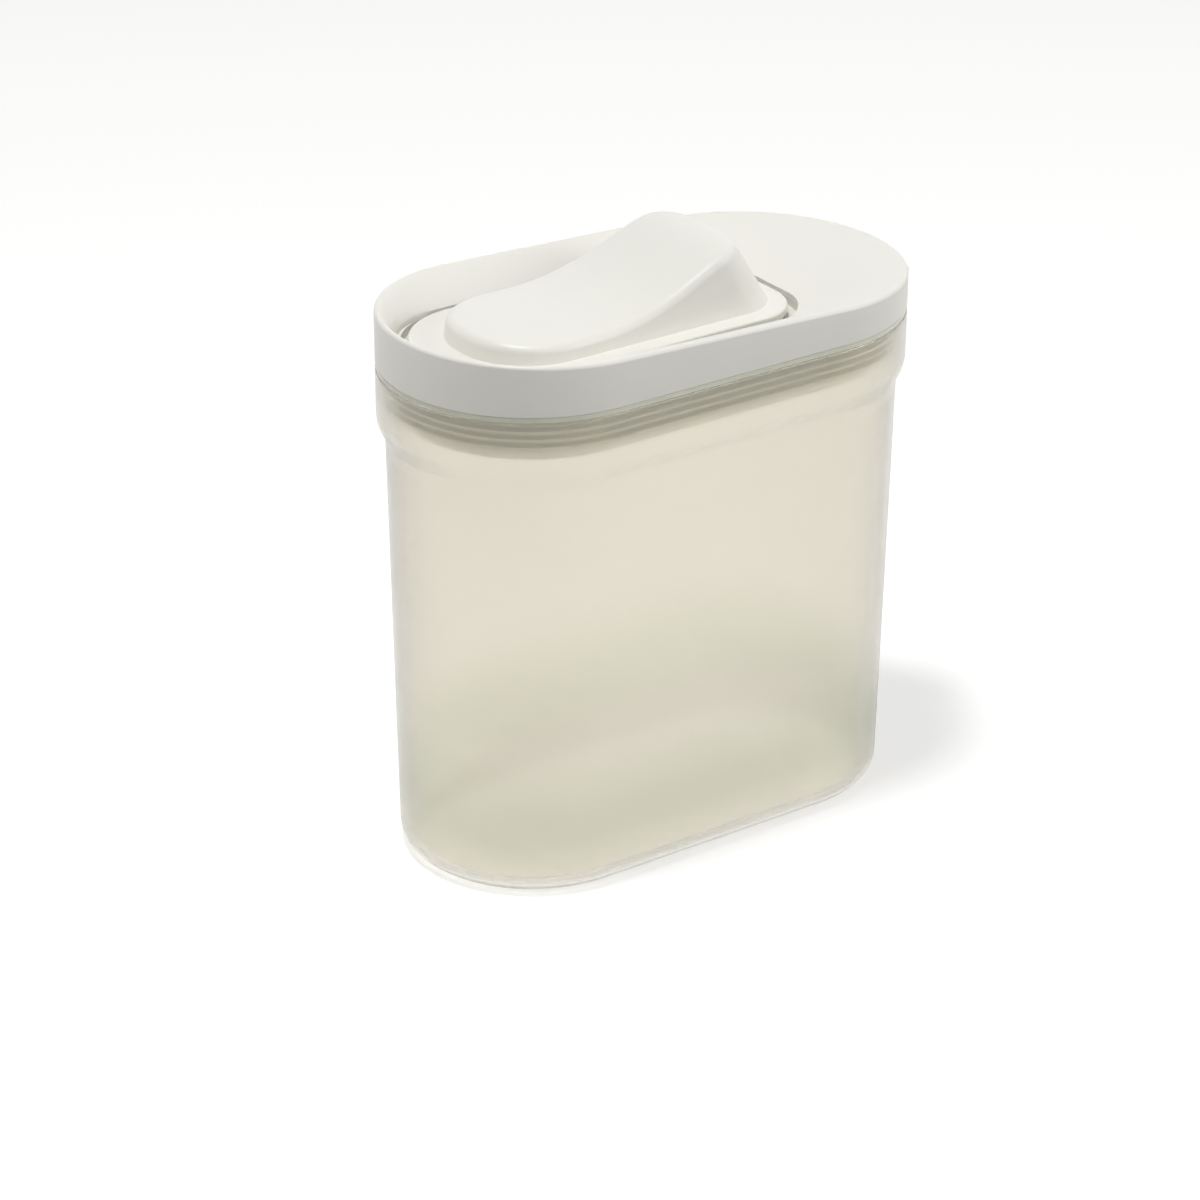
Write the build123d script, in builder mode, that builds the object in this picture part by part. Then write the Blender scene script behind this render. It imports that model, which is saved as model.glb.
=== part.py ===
from build123d import *
import os
from math import hypot

os.makedirs("parts", exist_ok=True)

# Overall sizes in millimetres: length over the tab, width, height to the top of the paddle
overall_length = 128.5
lid_width = 65.5
overall_height = 134.1
tab_reach = 4.0

# Tub: an open stadium cup with a flush collar, an S-shaped shoulder and a slight taper
tub_wall = 2.0
tub_floor = 2.4
collar_height = 10.0
shoulder_height = 8.0
shoulder_inset = 1.9
base_inset = 3.6
base_radius = 5.0
tub_rim_round = 0.6

# Lid cover: a band whose top falls towards the tab, dished down to a well
gasket_flange = 1.1
band_height = 9.4
lid_fall = 4.7
rim_round = 1.5
crest_inset = 1.7
lip_inset = 4.6
end_flat = 0.5
lip_drop = 1.4
well_low_inset = 4.85
well_tall_inset = 32.75
well_side_inset = 9.45
well_low_flat = 3.3
well_tall_round = 12.8
well_edge_height = 4.8
band_wall = 2.4
well_wall = 2.0
cover_web = 2.0

# Pull tab at the end of the lid
tab_thickness = 3.0
tab_drop = 1.6
tab_width = 17.0
tab_round = 3.0
tab_root = 3.0
tab_clearance = 0.3

# Inner frame: a floor for the well, a skirt that enters the tub and the hatch opening
frame_floor = 2.0
skirt_depth = 10.1
skirt_wall = 1.8
skirt_round = 0.8
opening_low_inset = 12.2
opening_tall_inset = 6.9
opening_side_inset = 7.3
opening_round = 9.0

# Gasket between the frame and the tub, with its fins
sleeve_wall = 1.0
sleeve_depth = 7.6
fin_reach = 1.6
fin_gap = 0.3
fin_count = 3
fin_pitch = 1.75
fin_first = 2.8
fin_root = 0.9
fin_tip = 0.5
flange_inset = 0.25

# Hatch: base plate set inside the well, paddle, plug and seal
plate_thickness = 1.8
plate_lift = 1.6
plate_low_gap = 2.7
plate_tall_gap = 2.1
plate_side_gap = 2.0
plate_low_flat = 3.1
plate_tall_round = 11.5
plate_edge_round = 0.5
plug_clearance = 0.5
plug_depth = 2.8
plug_wall = 1.6
seal_width = 3.0
seal_gap = 0.1

# Paddle: a hollow wedge, low at the hinge end and raked at the tall end
paddle_height = 14.7
foot_low_inset = 7.1
foot_tall_inset = 3.0
foot_side_inset = 3.9
foot_low_flat = 0.8
foot_tall_round = 10.0
crown_low_inset = 2.6
crown_tall_inset = 8.8
crown_side_inset = 2.2
crown_low_flat = 0.6
crown_tall_round = 8.5
low_end_height = 3.3
crown_rise = 1.3
slope_start_gap = 4.4
slope_end_inset = 2.1
slope_start_handle = 22.0
slope_end_handle = 9.0
hollow_length = 27.6
paddle_edge_round = 2.0
paddle_wall = 2.0

# Hinge at the low end of the hatch, in a pocket let into the frame
pivot_inset = 5.9
pivot_below_plate = 0.1
barrel_radius = 1.2
barrel_length = 12.0
lug_radius = 1.0
lug_thickness = 2.0
lug_gap = 0.3
pin_radius = 0.5
pin_running_gap = 0.05
swing_gap = 0.4
pocket_wall = 1.5

# Levels worked out from the sizes above
lid_length = overall_length - tab_reach
straight_length = lid_length - lid_width
half_width = lid_width / 2
end_centre = straight_length / 2
plate_top = overall_height - paddle_height
plate_bottom = plate_top - plate_thickness
well_floor = plate_bottom - plate_lift
lid_bottom = well_floor - frame_floor
tub_height = lid_bottom - gasket_flange
well_edge = lid_bottom + well_edge_height
pivot_z = plate_bottom - pivot_below_plate
skirt_inset = tub_wall + fin_gap + fin_reach + sleeve_wall

# Ends and half widths of the well, plate, opening and paddle, each set inside the last
well_left = well_low_inset - lid_length / 2
well_right = lid_length / 2 - well_tall_inset
well_half_width = half_width - well_side_inset
plate_left = well_left + plate_low_gap
plate_right = well_right - plate_tall_gap
plate_half_width = well_half_width - plate_side_gap
opening_left = plate_left + opening_low_inset
opening_right = plate_right - opening_tall_inset
opening_half_width = plate_half_width - opening_side_inset
foot_left = plate_left + foot_low_inset
foot_right = plate_right - foot_tall_inset
foot_half_width = plate_half_width - foot_side_inset
crown_left = foot_left + crown_low_inset
crown_right = foot_right - crown_tall_inset
crown_half_width = foot_half_width - crown_side_inset
pivot_x = plate_left + pivot_inset

# Rounds at the low end, which leave a short flat across the middle
well_low_round = well_half_width - well_low_flat
plate_low_round = plate_half_width - plate_low_flat
foot_low_round = foot_half_width - foot_low_flat
crown_low_round = crown_half_width - crown_low_flat


def rounded_outline(x_left, x_right, half_y, radius_left, radius_right):
    """A rectangle along X whose two ends have their own corner radii."""
    with BuildSketch() as outline:
        with BuildLine():
            Polyline(
                (x_left, -half_y),
                (x_right, -half_y),
                (x_right, half_y),
                (x_left, half_y),
                close=True,
            )
        make_face()
        fillet(outline.vertices().group_by(Axis.X)[0], radius_left)
        fillet(outline.vertices().group_by(Axis.X)[-1], radius_right)
    return outline.sketch


def lid_plane(height):
    """The plane of the lid's falling top, at a height above the lid's lower edge at mid-length."""
    return Plane(
        origin=(0, 0, lid_bottom + height),
        x_dir=(lid_length, 0, -lid_fall),
        z_dir=(lid_fall, 0, lid_length),
    )


# Plan outlines that several pieces share
rim_outline = rounded_outline(
    crest_inset - lid_length / 2,
    lid_length / 2 - crest_inset,
    half_width - crest_inset,
    half_width - crest_inset - end_flat,
    half_width - crest_inset - end_flat,
)
lip_outline = rounded_outline(
    lip_inset - lid_length / 2,
    lid_length / 2 - lip_inset,
    half_width - lip_inset,
    half_width - lip_inset - end_flat,
    half_width - lip_inset - end_flat,
)
well_outline = rounded_outline(
    well_left, well_right, well_half_width, well_low_round, well_tall_round
)
plate_outline = rounded_outline(
    plate_left, plate_right, plate_half_width, plate_low_round, plate_tall_round
)
foot_outline = rounded_outline(
    foot_left, foot_right, foot_half_width, foot_low_round, foot_tall_round
)
crown_outline = rounded_outline(
    crown_left, crown_right, crown_half_width, crown_low_round, crown_tall_round
)
opening_outline = rounded_outline(
    opening_left, opening_right, opening_half_width, opening_round, opening_round
)

# Tub: one wall section, extruded along the straight sides and turned around the ends
body_top = tub_height - collar_height - shoulder_height
collar_foot = tub_height - collar_height
outer_base = half_width - base_inset
outer_body = half_width - shoulder_inset
with BuildPart() as tub:
    with BuildSketch(Plane.YZ.offset(-end_centre)) as tub_section:
        with BuildLine():
            Line((0, 0), (outer_base, 0))
            Line((outer_base, 0), (outer_body, body_top))
            Bezier(
                (outer_body, body_top),
                (outer_body, body_top + shoulder_height / 2),
                (half_width, body_top + shoulder_height / 2),
                (half_width, collar_foot),
            )
            Line((half_width, collar_foot), (half_width, tub_height))
            Line((half_width, tub_height), (half_width - tub_wall, tub_height))
            Line((half_width - tub_wall, tub_height), (half_width - tub_wall, collar_foot))
            Bezier(
                (half_width - tub_wall, collar_foot),
                (half_width - tub_wall, body_top + shoulder_height / 2),
                (outer_body - tub_wall, body_top + shoulder_height / 2),
                (outer_body - tub_wall, body_top),
            )
            Line((outer_body - tub_wall, body_top), (outer_base - tub_wall, tub_floor))
            Line((outer_base - tub_wall, tub_floor), (0, tub_floor))
            Line((0, tub_floor), (0, 0))
        make_face()
        outer_corner = tub_section.vertices().sort_by_distance((outer_base, 0))[0]
        fillet(outer_corner, base_radius)
        inner_foot = (outer_base - tub_wall, tub_floor)
        fillet(tub_section.vertices().sort_by_distance(inner_foot)[0], base_radius - tub_wall)
        fillet(tub_section.vertices().group_by(Axis.Y)[-1], tub_rim_round)
    extrude(amount=straight_length)
    mirror(about=Plane.XZ)
    revolve(
        tub_section.sketch,
        axis=Axis((-end_centre, 0, 0), (0, 0, 1)),
        revolution_arc=180,
    )
    mirror(about=Plane.YZ)
tub.part.label = "tub"
export_step(tub.part, "parts/tub.step")

# Lid cover: band and falling top, dished down to the well, hollow below the deck
with BuildPart() as lid_cover:
    with BuildSketch(Plane.XY.offset(lid_bottom)):
        SlotOverall(lid_length, lid_width)
    extrude(amount=2 * band_height)
    split(bisect_by=lid_plane(band_height), keep=Keep.BOTTOM)
    fillet(lid_cover.faces().sort_by(Axis.Z)[-1].edges(), rim_round)
    with BuildSketch(lid_plane(band_height)):
        add(rim_outline)
    with BuildSketch(lid_plane(band_height - lip_drop)):
        add(lip_outline)
    loft(ruled=True, mode=Mode.SUBTRACT)
    with BuildSketch(lid_plane(band_height - lip_drop)):
        add(lip_outline)
    with BuildSketch(Plane.XY.offset(well_edge)):
        add(well_outline)
    loft(ruled=True, mode=Mode.SUBTRACT)
    with BuildSketch(Plane.XY.offset(lid_bottom)):
        add(well_outline)
    extrude(amount=well_edge_height, mode=Mode.SUBTRACT)
    # Room below the deck for the inner frame and a web over it
    with BuildSketch(Plane.XY.offset(lid_bottom)):
        SlotOverall(lid_length - 2 * band_wall, lid_width - 2 * band_wall)
    extrude(amount=frame_floor, mode=Mode.SUBTRACT)
    with BuildSketch(Plane.XY.offset(well_floor)):
        SlotOverall(lid_length - 2 * band_wall, lid_width - 2 * band_wall)
        offset(well_outline, amount=well_wall, mode=Mode.SUBTRACT)
    extrude(amount=well_edge - well_floor - cover_web, mode=Mode.SUBTRACT)
    # Pull tab, clear of the tub's collar below the lid
    with BuildSketch(Plane.XY.offset(lid_bottom - tab_drop)) as tab_sketch:
        with Locations((lid_length / 2 + (tab_reach - tab_root) / 2, 0)):
            RectangleRounded(tab_reach + tab_root, tab_width, tab_round)
        SlotOverall(lid_length + 2 * tab_clearance, lid_width + 2 * tab_clearance, mode=Mode.SUBTRACT)
    extrude(amount=tab_thickness)
    with BuildSketch(Plane.XY.offset(lid_bottom)):
        with Locations((lid_length / 2 + (tab_reach - tab_root) / 2, 0)):
            RectangleRounded(tab_reach + tab_root, tab_width, tab_round)
        SlotOverall(lid_length - 2 * band_wall, lid_width - 2 * band_wall, mode=Mode.SUBTRACT)
    extrude(amount=tab_thickness - tab_drop)
lid_cover.part.label = "lid_cover"
export_step(lid_cover.part, "parts/lid_cover.step")

# Inner frame: floor of the well, hatch opening, hinge pocket and skirt
skirt_length = lid_length - 2 * skirt_inset
skirt_width = lid_width - 2 * skirt_inset
swing_reach = hypot(pivot_inset, plate_top - pivot_z) - pivot_inset
pocket_outline = offset(plate_outline, amount=swing_reach + swing_gap, mode=Mode.PRIVATE)
pocket_right = pivot_x + barrel_radius + swing_gap
pocket_base = pivot_z - pivot_inset - swing_gap
lug_centre = barrel_length / 2 + lug_gap + lug_thickness / 2
with BuildPart() as lid_frame:
    with BuildSketch(Plane.XY.offset(lid_bottom)):
        SlotOverall(lid_length - 2 * band_wall, lid_width - 2 * band_wall)
        add(opening_outline, mode=Mode.SUBTRACT)
    extrude(amount=frame_floor)
    with BuildSketch(Plane.XY.offset(lid_bottom)):
        SlotOverall(skirt_length, skirt_width)
        SlotOverall(skirt_length - 2 * skirt_wall, skirt_width - 2 * skirt_wall, mode=Mode.SUBTRACT)
    extrude(amount=-skirt_depth - gasket_flange)
    skirt_foot = lid_frame.faces().sort_by(Axis.Z)[0]
    fillet(skirt_foot.edges(), skirt_round)
    # Closed pocket across the low end, in which the plate's end swings down
    with BuildSketch(Plane.XY.offset(pocket_base - pocket_wall)):
        SlotOverall(skirt_length - 2 * skirt_wall, skirt_width - 2 * skirt_wall)
        with Locations((pocket_right + pocket_wall, 0)):
            Rectangle(lid_length, lid_width, align=(Align.MIN, Align.CENTER), mode=Mode.SUBTRACT)
    extrude(amount=lid_bottom - pocket_base + pocket_wall)
    with BuildSketch(Plane.XY.offset(pocket_base)):
        add(pocket_outline)
        with Locations((pocket_right, 0)):
            Rectangle(lid_length, lid_width, align=(Align.MIN, Align.CENTER), mode=Mode.SUBTRACT)
    extrude(amount=well_floor - pocket_base, mode=Mode.SUBTRACT)
    # Two lugs that hold the hinge pin
    for side in (-1, 1):
        with BuildSketch(Plane.XZ.offset(side * lug_centre)):
            with Locations((pivot_x, pivot_z)):
                Circle(lug_radius)
            with Locations((pivot_x, pocket_base)):
                Rectangle(
                    pocket_right - pivot_x,
                    pivot_z - lug_gap - pocket_base,
                    align=(Align.MIN, Align.MIN),
                )
            with Locations((pivot_x, pivot_z)):
                Circle(pin_radius, mode=Mode.SUBTRACT)
        extrude(amount=lug_thickness / 2, both=True)
lid_frame.part.label = "lid_frame"
export_step(lid_frame.part, "parts/lid_frame.step")

# Gasket: a flange under the lid's band, a sleeve on the skirt and its fins
sleeve_inner = half_width - skirt_inset
sleeve_outer = sleeve_inner + sleeve_wall
with BuildPart() as lid_gasket:
    with BuildSketch(Plane.YZ.offset(-end_centre)) as gasket_section:
        with BuildLine():
            Polyline(
                (sleeve_inner, lid_bottom),
                (half_width - flange_inset, lid_bottom),
                (half_width - flange_inset, tub_height),
                (sleeve_outer, tub_height),
                (sleeve_outer, tub_height - sleeve_depth),
                (sleeve_inner, tub_height - sleeve_depth),
                close=True,
            )
        make_face()
        for fin in range(fin_count):
            fin_z = tub_height - fin_first - fin * fin_pitch
            with BuildLine():
                Polyline(
                    (sleeve_outer - sleeve_wall / 2, fin_z - fin_root / 2),
                    (sleeve_outer, fin_z - fin_root / 2),
                    (sleeve_outer + fin_reach, fin_z - fin_tip / 2),
                    (sleeve_outer + fin_reach, fin_z + fin_tip / 2),
                    (sleeve_outer, fin_z + fin_root / 2),
                    (sleeve_outer - sleeve_wall / 2, fin_z + fin_root / 2),
                    close=True,
                )
            make_face()
    extrude(amount=straight_length)
    mirror(about=Plane.XZ)
    revolve(
        gasket_section.sketch,
        axis=Axis((-end_centre, 0, 0), (0, 0, 1)),
        revolution_arc=180,
    )
    mirror(about=Plane.YZ)
lid_gasket.part.label = "lid_gasket"
export_step(lid_gasket.part, "parts/lid_gasket.step")

# Hinge pin, held by the lugs and running in the hatch's barrel
with BuildPart() as hinge_pin:
    with BuildSketch(Plane.XZ):
        with Locations((pivot_x, pivot_z)):
            Circle(pin_radius)
    extrude(amount=lug_centre + lug_thickness / 2, both=True)
hinge_pin.part.label = "hinge_pin"
export_step(hinge_pin.part, "parts/hinge_pin.step")

# Hatch plate with the hinge barrel under its low end
with BuildPart() as hatch_plate:
    with BuildSketch(Plane.XY.offset(plate_bottom)):
        add(plate_outline)
    extrude(amount=plate_thickness)
    fillet(hatch_plate.faces().sort_by(Axis.Z)[-1].edges(), plate_edge_round)
    with BuildSketch(Plane.XZ):
        with Locations((pivot_x, pivot_z)):
            Circle(barrel_radius)
    extrude(amount=barrel_length / 2, both=True)
    with BuildSketch(Plane.XZ):
        with Locations((pivot_x, pivot_z)):
            Circle(pin_radius + pin_running_gap)
    extrude(amount=lug_centre + lug_thickness / 2, both=True, mode=Mode.SUBTRACT)
    # Round notches under the plate that clear the lugs as it turns
    for side in (-1, 1):
        with BuildSketch(Plane.XZ.offset(side * lug_centre)):
            with Locations((pivot_x, pivot_z)):
                Circle(lug_radius + lug_gap)
        extrude(amount=lug_thickness / 2 + lug_gap, both=True, mode=Mode.SUBTRACT)
hatch_plate.part.label = "hatch_plate"
export_step(hatch_plate.part, "parts/hatch_plate.step")

# Plug under the plate that drops into the opening, open at the top
plug_outline = offset(opening_outline, amount=-plug_clearance, mode=Mode.PRIVATE)
plug_core = offset(opening_outline, amount=-plug_clearance - plug_wall, mode=Mode.PRIVATE)
plug_bottom = well_floor - plug_depth
with BuildPart() as hatch_plug:
    with BuildSketch(Plane.XY.offset(plug_bottom)):
        add(plug_outline)
    extrude(amount=plate_bottom - plug_bottom)
    with BuildSketch(Plane.XY.offset(plug_bottom + plug_wall)):
        add(plug_core)
    extrude(amount=plate_bottom - plug_bottom, mode=Mode.SUBTRACT)
hatch_plug.part.label = "hatch_plug"
export_step(hatch_plug.part, "parts/hatch_plug.step")

# Seal ring round the plug, pressed between the plate and the well floor
seal_inner = offset(opening_outline, amount=seal_gap - plug_clearance, mode=Mode.PRIVATE)
seal_outer = offset(opening_outline, amount=seal_width - plug_clearance, mode=Mode.PRIVATE)
with BuildPart() as hatch_seal:
    with BuildSketch(Plane.XY.offset(well_floor)):
        add(seal_outer)
        add(seal_inner, mode=Mode.SUBTRACT)
    extrude(amount=plate_lift)
hatch_seal.part.label = "hatch_seal"
export_step(hatch_seal.part, "parts/hatch_seal.step")


# Paddle: a raked body cut to an S-shaped top, crowned outside and plain inside
slope_start = crown_left + crown_low_round + slope_start_gap
slope_end = crown_right - slope_end_inset
hollow_left = crown_right - hollow_length
low_top = plate_top + low_end_height
high_top = overall_height - crown_rise


def paddle_profile(side_y, rise):
    """The side view of the paddle's S-shaped top at a place across it, raised by rise."""
    with BuildSketch(Plane.XZ.offset(side_y)) as profile:
        with BuildLine():
            Line((foot_left - paddle_wall, low_top + rise), (slope_start, low_top + rise))
            Bezier(
                (slope_start, low_top + rise),
                (slope_start + slope_start_handle, low_top + rise),
                (slope_end - slope_end_handle, high_top + rise),
                (slope_end, high_top + rise),
            )
            Polyline(
                (slope_end, high_top + rise),
                (foot_right + paddle_wall, high_top + rise),
                (foot_right + paddle_wall, plate_bottom),
                (foot_left - paddle_wall, plate_bottom),
                (foot_left - paddle_wall, low_top + rise),
            )
        make_face()
    return profile.sketch


foot_core_outline = rounded_outline(
    hollow_left,
    foot_right - paddle_wall,
    foot_half_width - paddle_wall,
    foot_tall_round - paddle_wall,
    foot_tall_round - paddle_wall,
)
crown_core_outline = rounded_outline(
    hollow_left,
    crown_right - paddle_wall,
    crown_half_width - paddle_wall,
    crown_tall_round - paddle_wall,
    crown_tall_round - paddle_wall,
)
profile_reach = foot_half_width + paddle_wall
core_profiles = [
    paddle_profile(-profile_reach, -paddle_wall),
    paddle_profile(profile_reach, -paddle_wall),
]
skin_profiles = [
    paddle_profile(-profile_reach, 0),
    paddle_profile(0, crown_rise),
    paddle_profile(profile_reach, 0),
]
with BuildPart() as paddle_core:
    with BuildSketch(Plane.XY.offset(plate_top)):
        add(foot_core_outline)
    with BuildSketch(Plane.XY.offset(overall_height)):
        add(crown_core_outline)
    loft(ruled=True)
    for profile in core_profiles:
        add(profile)
    loft(mode=Mode.INTERSECT)
with BuildPart() as hatch_paddle:
    with BuildSketch(Plane.XY.offset(plate_top)):
        add(foot_outline)
    with BuildSketch(Plane.XY.offset(overall_height)):
        add(crown_outline)
    loft(ruled=True)
    for profile in skin_profiles:
        add(profile)
    loft(mode=Mode.INTERSECT)
    fillet(hatch_paddle.faces().sort_by(Axis.Z)[-1].edges(), paddle_edge_round)
    add(paddle_core.part, mode=Mode.SUBTRACT)
hatch_paddle.part.label = "hatch_paddle"
export_step(hatch_paddle.part, "parts/hatch_paddle.step")
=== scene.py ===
from math import cos, pi, radians, sin, sqrt

import bmesh
import bpy
from mathutils import Matrix, Vector


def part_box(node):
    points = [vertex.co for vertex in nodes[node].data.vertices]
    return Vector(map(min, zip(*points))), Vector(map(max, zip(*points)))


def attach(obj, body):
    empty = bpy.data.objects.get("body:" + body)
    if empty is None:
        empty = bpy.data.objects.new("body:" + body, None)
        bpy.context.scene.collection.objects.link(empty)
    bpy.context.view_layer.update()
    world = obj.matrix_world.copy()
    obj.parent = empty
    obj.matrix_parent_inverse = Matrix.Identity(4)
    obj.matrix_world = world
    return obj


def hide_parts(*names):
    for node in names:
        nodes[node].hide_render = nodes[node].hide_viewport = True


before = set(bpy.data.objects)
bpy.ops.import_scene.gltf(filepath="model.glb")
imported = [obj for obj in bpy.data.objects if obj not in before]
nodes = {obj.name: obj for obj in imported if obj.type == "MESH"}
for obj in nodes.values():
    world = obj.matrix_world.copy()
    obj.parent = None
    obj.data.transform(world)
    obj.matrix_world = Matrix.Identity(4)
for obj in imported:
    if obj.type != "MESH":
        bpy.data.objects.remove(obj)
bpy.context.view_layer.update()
bpy.context.scene.view_settings.view_transform = "Standard"

# Camera: the photograph's view, in degrees and metres, for a square image of 1200 pixels
view_azimuth = -35.082
view_elevation = 26.119
view_distance = 0.89751
view_target = Vector((-0.011314, 0.0, 0.051908))
view_roll = 0.004
image_size = 1200
focal_pixels = 4106.92
centre_pixel = (601.082, 600.821)
sensor_width = 36.0

# Lamps: power in watts, sizes and places in metres
key_power = 7.5
key_size = 0.16
key_place = Vector((-0.22, -0.062, 1.30))
left_power = 0.9
left_size = 0.50
left_place = Vector((-0.85, 0.25, 0.45))
right_power = 3.9
right_size = 0.60
right_place = Vector((0.75, -0.80, 0.55))
lamp_aim = Vector((0.0, 0.0, 0.06))

# Sky: a soft warm white, dimmer round one low direction; the dim patch grows between two cosines
sky_light = 0.40
sky_colour = (1.0, 0.985, 0.96, 1)
dark_side = Vector((-0.57, -0.82, 0.05))
dark_share = 0.85
dark_from = 0.35
dark_full = 0.95

# Floor: its size in metres, how much light it returns, and its glow where it is seen directly
floor_size = 6.0
floor_albedo = 0.66
floor_glow = 0.477

# Plastics: their mottling, unevenness of gloss and grain
plastic_ior = 1.47
tone_scale = 18.0
tone_detail = 3.0
tone_range = (0.3, 0.7)
gloss_spread = 0.05
grain_detail = 2.0
grain_strength = 0.15
moulded_grain = 2600.0
metal_grain = 3000.0
frosted_grain = 1400.0

# Tub's low zone, painted shade with some of the thick floor's own greener tint: its top in metres,
# and where the painted tint and shade begins, is full and fades, as shares of it
low_zone_top = 0.034
low_tint_and_shade = (0.86, 0.885, 0.84, 1)
low_tint_and_shade_begin = 0.08
low_tint_and_shade_full = (0.38, 0.55)

# Lid: the same sizes as its solid, in metres, with a finer edge and a smooth dish
band_height = 0.0094
lid_fall = 0.0047
edge_round = 0.0008
band_wall = 0.0024
low_well_inset = 0.00485
tall_well_inset = 0.03275
side_well_inset = 0.00945
low_well_flat = 0.0033
tall_well_round = 0.0128
well_edge_height = 0.0048
well_floor_height = 0.0020
dish_bend = 1.6

# Ledge beside the plate's low end, wide at the end and closing to nearly nothing at ledge_end
ledge_height = 0.0039
ledge_width = 0.0015
ledge_least = 0.00005
ledge_end = -0.044
ledge_taper = 1.3

# Gasket's thin edge below the band
lip_inset = 0.0001
lip_width = 0.0030
lip_top = 0.00002
lip_height = 0.00105

# Pull tab: heights from the band's lower edge, and the flare of its root
tab_reach = 0.0040
tab_top = 0.0014
tab_bottom = -0.0016
tab_tip_half = 0.0058
tab_side_half = 0.0084
tab_root_half = 0.0105
tab_edge = 0.0005
tab_seat = 0.0001
tab_shoulder = 0.35
tab_bend = (0.0006, 0.0002)

# Meshes: how finely they are divided, and the angles in degrees over which an edge is crisp
arc_steps = 28
straight_steps = 30
end_steps = 2
edge_steps = 5
dish_steps = 16
root_steps = 8
corner_steps = 12
seat_steps = 16
bevel_steps = 3
stadium_flat = 0.00001
weld = 1e-6
ring_crisp = 38
tab_crisp = 40

# Where the lid's band lies, from its solid, whose lowest face is the tab's
low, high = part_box("lid_cover")
lid_bottom = low.z - tab_bottom
lid_left = low.x
lid_end = high.x - tab_reach
lid_half = high.y


def aim(thing, place, target):
    """Puts a lamp at a place and points it at a target."""
    thing.location = place
    thing.rotation_euler = (target - place).to_track_quat("-Z", "Y").to_euler()


def make_camera():
    """Sets up the camera at the photograph's viewing angle."""
    azimuth = radians(view_azimuth)
    elevation = radians(view_elevation)
    back = Vector(
        (sin(azimuth) * cos(elevation), -cos(azimuth) * cos(elevation), sin(elevation))
    )
    right = (-back).cross(Vector((0, 0, 1))).normalized()
    up = right.cross(-back)
    turned_right = cos(view_roll) * right + sin(view_roll) * up
    turned_up = cos(view_roll) * up - sin(view_roll) * right
    data = bpy.data.cameras.new("camera")
    data.sensor_width = sensor_width
    data.lens = focal_pixels / image_size * sensor_width
    data.shift_x = (image_size / 2 - centre_pixel[0]) / image_size
    data.shift_y = (centre_pixel[1] - image_size / 2) / image_size
    camera = bpy.data.objects.new("camera", data)
    bpy.context.scene.collection.objects.link(camera)
    turn = Matrix((turned_right, turned_up, back)).transposed().to_4x4()
    camera.matrix_world = Matrix.Translation(view_target + back * view_distance) @ turn
    bpy.context.scene.camera = camera


def make_lamp(name, power, size, place):
    """A square soft lamp aimed at the container."""
    data = bpy.data.lights.new(name, "AREA")
    data.energy = power
    data.size = size
    lamp = bpy.data.objects.new(name, data)
    bpy.context.scene.collection.objects.link(lamp)
    aim(lamp, place, lamp_aim)


class Graph:
    """A short way to build a material's or the world's nodes."""

    def __init__(self, tree):
        self.tree = tree
        tree.nodes.clear()

    def add(self, kind, **values):
        node = self.tree.nodes.new(kind)
        for key, value in values.items():
            if hasattr(node, key):
                setattr(node, key, value)
            else:
                node.inputs[key.replace("_", " ")].default_value = value
        return node

    def link(self, source, target):
        self.tree.links.new(source, target)


def seen_directly(graph):
    """1 for camera, glossy and transmission rays, so that they see the pale background."""
    path = graph.add("ShaderNodeLightPath")
    first = graph.add("ShaderNodeMath", operation="MAXIMUM")
    second = graph.add("ShaderNodeMath", operation="MAXIMUM")
    graph.link(path.outputs["Is Camera Ray"], first.inputs[0])
    graph.link(path.outputs["Is Glossy Ray"], first.inputs[1])
    graph.link(first.outputs[0], second.inputs[0])
    graph.link(path.outputs["Is Transmission Ray"], second.inputs[1])
    return second.outputs[0]


def make_world():
    """A white backdrop over a softer sky light that is dimmer on one side."""
    world = bpy.data.worlds.new("studio")
    bpy.context.scene.world = world
    world.use_nodes = True
    graph = Graph(world.node_tree)
    light = graph.add("ShaderNodeBackground", Color=sky_colour)
    white = graph.add("ShaderNodeBackground", Color=(1, 1, 1, 1), Strength=1.0)
    mix = graph.add("ShaderNodeMixShader")
    output = graph.add("ShaderNodeOutputWorld")
    place = graph.add("ShaderNodeTexCoord")
    facing = graph.add("ShaderNodeVectorMath", operation="DOT_PRODUCT")
    facing.inputs[1].default_value = dark_side
    dim = graph.add("ShaderNodeMapRange", interpolation_type="SMOOTHSTEP")
    dim.inputs["From Min"].default_value = dark_from
    dim.inputs["From Max"].default_value = dark_full
    dim.inputs["To Min"].default_value = sky_light
    dim.inputs["To Max"].default_value = sky_light * (1 - dark_share)
    graph.link(place.outputs["Generated"], facing.inputs[0])
    graph.link(facing.outputs["Value"], dim.inputs["Value"])
    graph.link(dim.outputs["Result"], light.inputs["Strength"])
    graph.link(seen_directly(graph), mix.inputs[0])
    graph.link(light.outputs[0], mix.inputs[1])
    graph.link(white.outputs[0], mix.inputs[2])
    graph.link(mix.outputs[0], output.inputs["Surface"])


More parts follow.
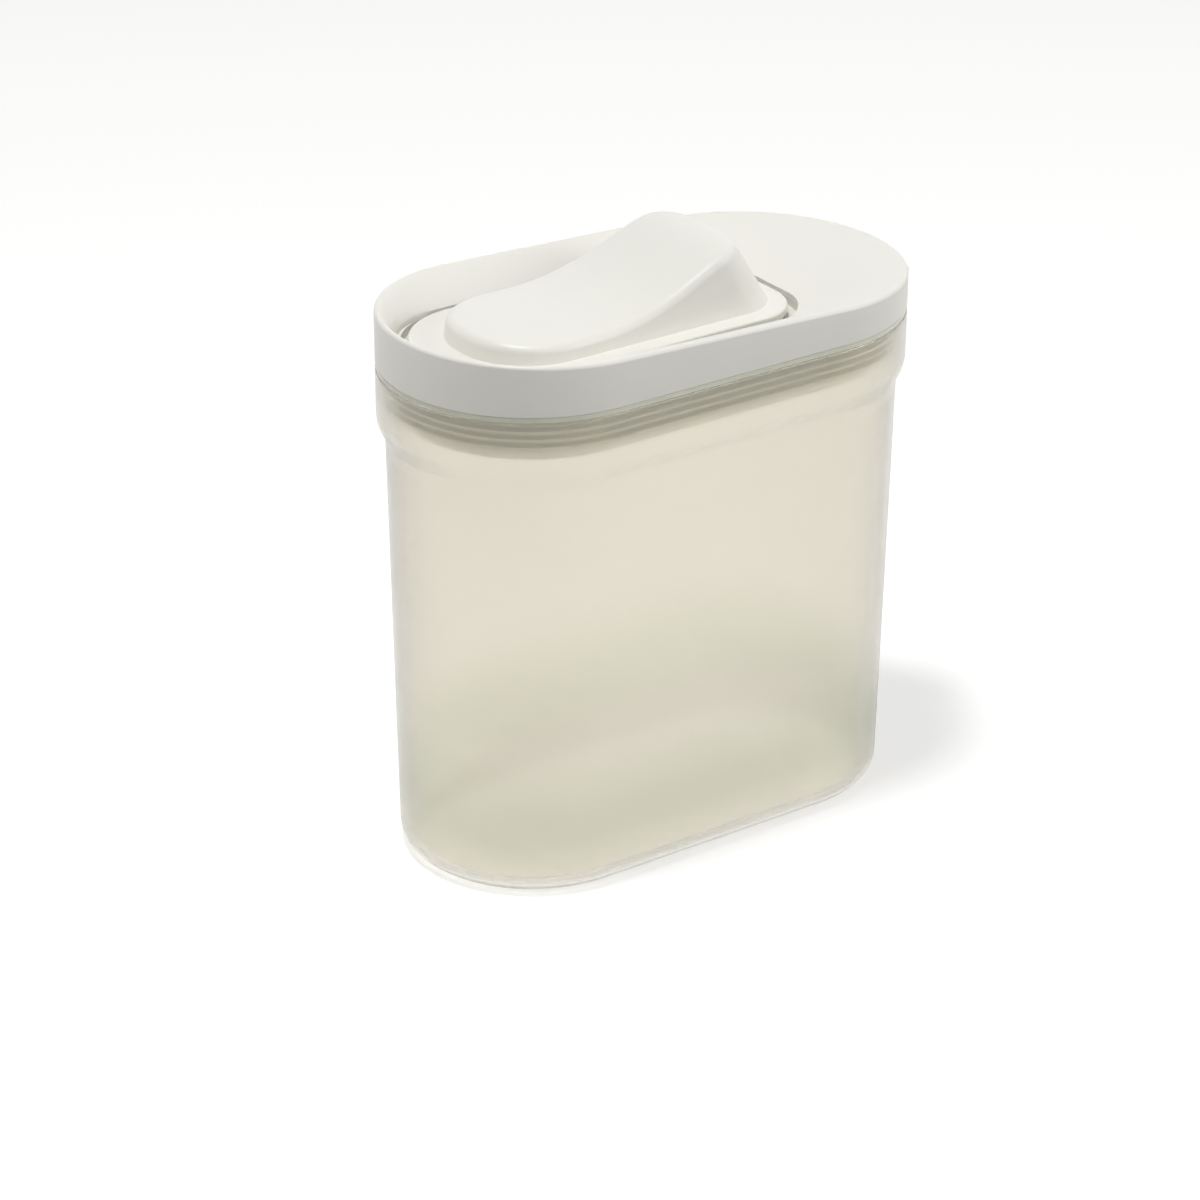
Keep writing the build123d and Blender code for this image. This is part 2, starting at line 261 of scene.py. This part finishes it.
def make_floor():
    """A plain white floor that keeps the container's soft shadow."""
    half = floor_size / 2
    mesh = bpy.data.meshes.new("floor")
    corners = [(-half, -half, 0), (half, -half, 0), (half, half, 0), (-half, half, 0)]
    mesh.from_pydata(corners, [], [(0, 1, 2, 3)])
    floor = bpy.data.objects.new("floor", mesh)
    bpy.context.scene.collection.objects.link(floor)
    material = bpy.data.materials.new("floor_white")
    material.use_nodes = True
    graph = Graph(material.node_tree)
    albedo = (floor_albedo, floor_albedo, floor_albedo, 1)
    diffuse = graph.add("ShaderNodeBsdfDiffuse", Color=albedo)
    glow = graph.add("ShaderNodeEmission", Color=(1, 1, 1, 1))
    strength = graph.add("ShaderNodeMath", operation="MULTIPLY")
    both = graph.add("ShaderNodeAddShader")
    output = graph.add("ShaderNodeOutputMaterial")
    graph.link(seen_directly(graph), strength.inputs[0])
    strength.inputs[1].default_value = floor_glow
    graph.link(strength.outputs[0], glow.inputs["Strength"])
    graph.link(diffuse.outputs[0], both.inputs[0])
    graph.link(glow.outputs[0], both.inputs[1])
    graph.link(both.outputs[0], output.inputs["Surface"])
    mesh.materials.append(material)


def moulded_plastic(name, light, dark, roughness, grain_scale, grain_depth):
    """A satin surface: two close tones, uneven gloss and a fine grain."""
    material = bpy.data.materials.new(name)
    material.use_nodes = True
    graph = Graph(material.node_tree)
    place = graph.add("ShaderNodeTexCoord")
    tone_noise = graph.add(
        "ShaderNodeTexNoise", Scale=tone_scale, Detail=tone_detail, Roughness=0.5
    )
    tone = graph.add("ShaderNodeValToRGB")
    for element, position, colour in zip(tone.color_ramp.elements, tone_range, (dark, light)):
        element.position = position
        element.color = (*colour, 1)
    grain = graph.add("ShaderNodeTexNoise", Scale=grain_scale, Detail=grain_detail)
    gloss = graph.add("ShaderNodeMapRange")
    gloss.inputs["To Min"].default_value = roughness - gloss_spread
    gloss.inputs["To Max"].default_value = roughness + gloss_spread
    bump = graph.add("ShaderNodeBump", Strength=grain_strength, Distance=grain_depth)
    shader = graph.add("ShaderNodeBsdfPrincipled", IOR=plastic_ior)
    output = graph.add("ShaderNodeOutputMaterial")
    graph.link(place.outputs["Object"], tone_noise.inputs["Vector"])
    graph.link(place.outputs["Object"], grain.inputs["Vector"])
    graph.link(tone_noise.outputs["Fac"], tone.inputs["Fac"])
    graph.link(tone_noise.outputs["Fac"], gloss.inputs["Value"])
    graph.link(grain.outputs["Fac"], bump.inputs["Height"])
    graph.link(tone.outputs["Color"], shader.inputs["Base Color"])
    graph.link(gloss.outputs["Result"], shader.inputs["Roughness"])
    graph.link(bump.outputs["Normal"], shader.inputs["Normal"])
    graph.link(shader.outputs[0], output.inputs["Surface"])
    return material, graph, shader, output


def frosted(name, light, dark, roughness, clear, passes, grain_depth):
    """A frosted plastic or silicone that light passes through, softly."""
    material, graph, shader, output = moulded_plastic(
        name, light, dark, roughness, frosted_grain, grain_depth
    )
    shader.inputs["Transmission Weight"].default_value = clear
    path = graph.add("ShaderNodeLightPath")
    share = graph.add("ShaderNodeMath", operation="MULTIPLY")
    share.inputs[1].default_value = passes
    through = graph.add("ShaderNodeBsdfTransparent", Color=(*light, 1))
    mix = graph.add("ShaderNodeMixShader")
    graph.link(path.outputs["Is Shadow Ray"], share.inputs[0])
    graph.link(share.outputs[0], mix.inputs[0])
    graph.link(shader.outputs[0], mix.inputs[1])
    graph.link(through.outputs[0], mix.inputs[2])
    graph.link(mix.outputs[0], output.inputs["Surface"])
    return material


def tint_and_shade_low_zone(material):
    """Greener, darker plastic in a low band: painted shade, with some of the thick floor's own
    greener tint seen through the wall.
    """
    tree = material.node_tree
    shader = next(node for node in tree.nodes if node.type == "BSDF_PRINCIPLED")
    colour = shader.inputs["Base Color"].links[0].from_socket
    place = tree.nodes.new("ShaderNodeNewGeometry")
    parts = tree.nodes.new("ShaderNodeSeparateXYZ")
    height = tree.nodes.new("ShaderNodeMapRange")
    height.inputs["From Max"].default_value = low_zone_top
    tint_and_shade = tree.nodes.new("ShaderNodeValToRGB")
    ramp = tint_and_shade.color_ramp.elements
    ramp[0].position = low_tint_and_shade_begin
    ramp[0].color = (1, 1, 1, 1)
    ramp[1].position = 1.0
    ramp[1].color = (1, 1, 1, 1)
    # Painted shade: the low band's colour is multiplied darker and greener, standing in for the
    # floor's shadow seen through the wall
    for position in low_tint_and_shade_full:
        ramp.new(position).color = low_tint_and_shade
    both = tree.nodes.new("ShaderNodeMixRGB")
    both.blend_type = "MULTIPLY"
    both.inputs["Fac"].default_value = 1.0
    tree.links.new(place.outputs["Position"], parts.inputs[0])
    tree.links.new(parts.outputs["Z"], height.inputs["Value"])
    tree.links.new(height.outputs["Result"], tint_and_shade.inputs["Fac"])
    tree.links.new(colour, both.inputs["Color1"])
    tree.links.new(tint_and_shade.outputs["Color"], both.inputs["Color2"])
    tree.links.new(both.outputs["Color"], shader.inputs["Base Color"])


def dress(node, material):
    """Gives a CAD node its material."""
    mesh = nodes[node].data
    mesh.materials.clear()
    mesh.materials.append(material)


def rounded_ring(x_left, x_right, half_y, left_round, right_round):
    """Points round a rectangle whose ends have their own rounds, always as many and in step."""
    corners = [
        (x_right - right_round, -half_y + right_round, right_round, -pi / 2),
        (x_right - right_round, half_y - right_round, right_round, 0.0),
        (x_left + left_round, half_y - left_round, left_round, pi / 2),
        (x_left + left_round, -half_y + left_round, left_round, pi),
    ]
    points = []
    for index, (x, y, radius, start) in enumerate(corners):
        for step in range(arc_steps + 1):
            angle = start + pi / 2 * step / arc_steps
            points.append(Vector((x + radius * cos(angle), y + radius * sin(angle))))
        far_x, far_y, far_radius, far_start = corners[(index + 1) % 4]
        first = points[-1]
        last = Vector((far_x + far_radius * cos(far_start), far_y + far_radius * sin(far_start)))
        count = straight_steps if index % 2 else end_steps
        points += [first.lerp(last, step / count) for step in range(1, count)]
    return points


def stadium(inset):
    """The lid's outline, a distance inside its band's face."""
    half = lid_half - inset
    end_round = half - stadium_flat
    return rounded_ring(lid_left + inset, lid_end - inset, half, end_round, end_round)


def well_half():
    """Half the width of the well."""
    return lid_half - side_well_inset


def well_ring():
    """The well's outline."""
    return rounded_ring(
        lid_left + low_well_inset,
        lid_end - tall_well_inset,
        well_half(),
        well_half() - low_well_flat,
        tall_well_round,
    )


def level(ring, height):
    """A ring of points at one height."""
    return [Vector((point.x, point.y, height)) for point in ring]


def make_piece(name, mesh):
    """Puts a smooth-shaded mesh into the scene."""
    mesh.shade_smooth()
    piece = bpy.data.objects.new(name, mesh)
    bpy.context.scene.collection.objects.link(piece)
    return piece


def ring_piece(name, rings):
    """A closed piece through rings of points in step, the last joined to the first."""
    count = len(rings[0])
    vertices = [point for ring in rings for point in ring]
    faces = []
    for row in range(len(rings)):
        near = row * count
        far = (row + 1) % len(rings) * count
        for i in range(count):
            j = (i + 1) % count
            faces.append((near + i, near + j, far + j, far + i))
    mesh = bpy.data.meshes.new(name)
    mesh.from_pydata(vertices, [], faces)
    shape = bmesh.new()
    shape.from_mesh(mesh)
    bmesh.ops.remove_doubles(shape, verts=shape.verts, dist=weld)
    bmesh.ops.recalc_face_normals(shape, faces=shape.faces)
    shape.to_mesh(mesh)
    shape.free()
    return make_piece(name, mesh)


def finish_piece(piece, material, angle):
    """Makes edges over an angle crisp and gives a piece its material."""
    edges = piece.modifiers.new("crisp", "EDGE_SPLIT")
    edges.split_angle = radians(angle)
    piece.data.materials.append(material)


def make_lid_shell(material):
    """The lid's band and dish, in place of its solid: a fine top edge and one smooth slope."""
    length = lid_end - lid_left
    middle = (lid_left + lid_end) / 2

    def top_of(x):
        return lid_bottom + band_height - lid_fall * (x - middle) / length

    outer = stadium(0.0)
    crest = stadium(edge_round)
    inner = stadium(band_wall)
    well = well_ring()
    well_edge = lid_bottom + well_edge_height
    low_round = edge_round / 4
    rings = [
        level(inner, lid_bottom),
        level(stadium(low_round), lid_bottom),
        level(outer, lid_bottom + low_round),
    ]
    for step in range(edge_steps + 1):
        turn = pi / 2 * step / edge_steps
        share = 1 - cos(turn)
        drop = edge_round * (1 - sin(turn))
        ring = [a.lerp(b, share) for a, b in zip(outer, crest)]
        rings.append([Vector((p.x, p.y, top_of(p.x) - drop)) for p in ring])
    for step in range(1, dish_steps + 1):
        share = step / dish_steps
        ring = []
        for a, b in zip(crest, well):
            point = a.lerp(b, share)
            height = well_edge + (top_of(a.x) - well_edge) * (1 - share**dish_bend)
            ring.append(Vector((point.x, point.y, height)))
        rings.append(ring)
    rings.append(level(well, lid_bottom + well_floor_height))
    rings.append(level(inner, lid_bottom + well_floor_height))
    shell = ring_piece("lid_shell", rings)
    finish_piece(shell, material, ring_crisp)
    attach(shell, "lid")
    return shell


def make_ledge(material):
    """The pale step in the well beside the plate's low end."""
    well = well_ring()
    start = lid_left + low_well_inset
    centre = start + well_half()
    step_in = []
    for p in well:
        share = min(1.0, max(0.0, (ledge_end - p.x) / (ledge_end - start)))
        width = ledge_least + (ledge_width - ledge_least) * share**ledge_taper
        inward = Vector((centre - p.x, -p.y)) if share else Vector((-p.x, -p.y))
        step_in.append(p + inward.normalized() * width)
    floor_level = lid_bottom + well_floor_height
    ledge = ring_piece(
        "well_ledge",
        [
            level(well, floor_level),
            level(well, lid_bottom + ledge_height),
            level(step_in, lid_bottom + ledge_height),
            level(step_in, floor_level),
        ],
    )
    finish_piece(ledge, material, ring_crisp)
    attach(ledge, "lid")


def make_gasket_lip(material):
    """The gasket's thin edge, seen between the lid's band and the tub's rim."""
    inner = stadium(lip_inset + lip_width)
    outer = stadium(lip_inset)
    lip = ring_piece(
        "gasket_lip",
        [
            level(inner, lid_bottom - lip_top),
            level(outer, lid_bottom - lip_top),
            level(outer, lid_bottom - lip_height),
            level(inner, lid_bottom - lip_height),
        ],
    )
    finish_piece(lip, material, ring_crisp)
    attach(lip, "lid")


def curve(start, pull, end, steps):
    """Points of a bend from start to end that leans towards a pull point."""
    shares = [step / steps for step in range(steps + 1)]
    return [start.lerp(pull, t).lerp(pull.lerp(end, t), t) for t in shares]


def make_tab(material):
    """The pull tab at the lid's end: a thin tongue whose root flares into the band."""
    centre = lid_end - lid_half
    seat = lid_half - tab_seat

    def on_seat(y):
        return Vector((centre + sqrt(seat**2 - y**2), y))

    root = on_seat(tab_root_half)
    bend = Vector((lid_end - tab_bend[0], tab_side_half + tab_bend[1]))
    shoulder = Vector((lid_end + tab_reach * tab_shoulder, tab_side_half))
    corner = Vector((lid_end + tab_reach, tab_side_half))
    tip = Vector((lid_end + tab_reach, tab_tip_half))
    side = curve(root, bend, shoulder, root_steps) + curve(shoulder, corner, tip, corner_steps)[1:]
    outline = [Vector((p.x, -p.y)) for p in side] + side[::-1]
    outline += [on_seat(tab_root_half * (1 - 2 * i / seat_steps)) for i in range(1, seat_steps)]
    mesh = bpy.data.meshes.new("pull_tab")
    shape = bmesh.new()
    base = [shape.verts.new((p.x, p.y, lid_bottom + tab_bottom)) for p in outline]
    face = shape.faces.new(base)
    grown = bmesh.ops.extrude_face_region(shape, geom=[face])
    for item in grown["geom"]:
        if isinstance(item, bmesh.types.BMVert):
            item.co.z = lid_bottom + tab_top
    bmesh.ops.recalc_face_normals(shape, faces=shape.faces)
    shape.to_mesh(mesh)
    shape.free()
    piece = make_piece("pull_tab", mesh)
    soft = piece.modifiers.new("soft_edges", "BEVEL")
    soft.width = tab_edge
    soft.segments = bevel_steps
    soft.limit_method = "ANGLE"
    soft.angle_limit = radians(tab_crisp)
    finish_piece(piece, material, tab_crisp)
    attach(piece, "lid")


make_camera()
make_world()
make_floor()
make_lamp("key", key_power, key_size, key_place)
make_lamp("left_fill", left_power, left_size, left_place)
make_lamp("right_fill", right_power, right_size, right_place)

# Each material: its lighter and darker tone, its roughness, and what its function asks for
lid_plastic = moulded_plastic(
    "lid_plastic", (0.85, 0.84, 0.79), (0.835, 0.825, 0.775), 0.36, moulded_grain, 0.00002
)[0]
frame_plastic = moulded_plastic(
    "frame_plastic", (0.86, 0.855, 0.79), (0.84, 0.835, 0.77), 0.45, moulded_grain, 0.00002
)[0]
pin_steel, _, pin_shader, _ = moulded_plastic(
    "pin_steel", (0.62, 0.62, 0.63), (0.55, 0.55, 0.56), 0.3, metal_grain, 0.00002
)
pin_shader.inputs["Metallic"].default_value = 1.0
tub_plastic = frosted(
    "tub_plastic", (0.955, 0.93, 0.86), (0.945, 0.92, 0.845), 0.22, 0.88, 0.55, 0.00001
)
gasket_rubber = frosted(
    "gasket_rubber", (0.93, 0.93, 0.82), (0.91, 0.91, 0.79), 0.35, 0.35, 0.7, 0.00001
)
# Painted shade low in the tub, partly the thick floor's own greener tint
tint_and_shade_low_zone(tub_plastic)

dress("lid_cover", lid_plastic)
lid_shell = make_lid_shell(lid_plastic)
make_ledge(lid_plastic)
make_tab(lid_plastic)
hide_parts("lid_cover")
make_gasket_lip(gasket_rubber)
dress("hatch_plate", lid_plastic)
dress("hatch_paddle", lid_plastic)
dress("lid_frame", frame_plastic)
dress("hatch_plug", frame_plastic)
dress("hinge_pin", pin_steel)
dress("tub", tub_plastic)
dress("lid_gasket", gasket_rubber)
dress("hatch_seal", gasket_rubber)
